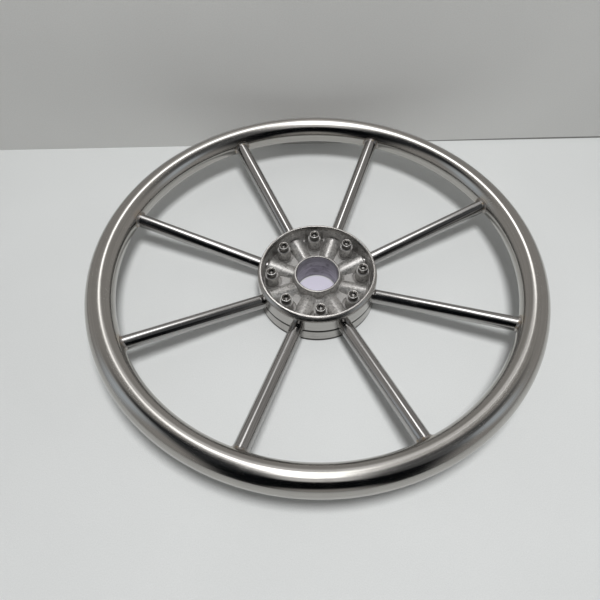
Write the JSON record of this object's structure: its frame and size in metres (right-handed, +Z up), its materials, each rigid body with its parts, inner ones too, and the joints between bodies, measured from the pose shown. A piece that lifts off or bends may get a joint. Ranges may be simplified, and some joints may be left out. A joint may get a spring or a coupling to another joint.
{
  "type": "ship steering wheel",
  "caption": "Dished stainless steel boat steering wheel: a tube rim, straight rod spokes and a two-part hub clamped by socket cap screws, with a shaft bore.",
  "frame": {"origin": "on the wheel's axis at the hub's base, which it rests on", "axes": "+Z up along the wheel's axis, from the hub's base to its dished side; +X through the first clamp screw, midway between two spokes"},
  "size_m": [0.4499, 0.45, 0.054],
  "materials": {
    "rim_steel": "polished, fine brushing along the tube",
    "spoke_steel": "polished bright bar",
    "hub_steel": "polished casting with turned faces",
    "weld_steel": "dressed weld",
    "screw_steel": "plain stainless"
  },
  "bodies": {
    "root": {"rim_tube": "rim_steel", "hub_base_half": "hub_steel", "hub_clamp_half": "hub_steel", "spoke_1": "spoke_steel", "spoke_2": "spoke_steel", "spoke_3": "spoke_steel", "spoke_4": "spoke_steel", "spoke_5": "spoke_steel", "spoke_6": "spoke_steel", "spoke_7": "spoke_steel", "spoke_8": "spoke_steel", "rim_weld_1": "weld_steel", "rim_weld_2": "weld_steel", "rim_weld_3": "weld_steel", "rim_weld_4": "weld_steel", "rim_weld_5": "weld_steel", "rim_weld_6": "weld_steel", "rim_weld_7": "weld_steel", "rim_weld_8": "weld_steel", "clamp_screw_1": "screw_steel", "clamp_screw_2": "screw_steel", "clamp_screw_3": "screw_steel", "clamp_screw_4": "screw_steel", "clamp_screw_5": "screw_steel", "clamp_screw_6": "screw_steel", "clamp_screw_7": "screw_steel", "clamp_screw_8": "screw_steel"}
  },
  "joints": []
}
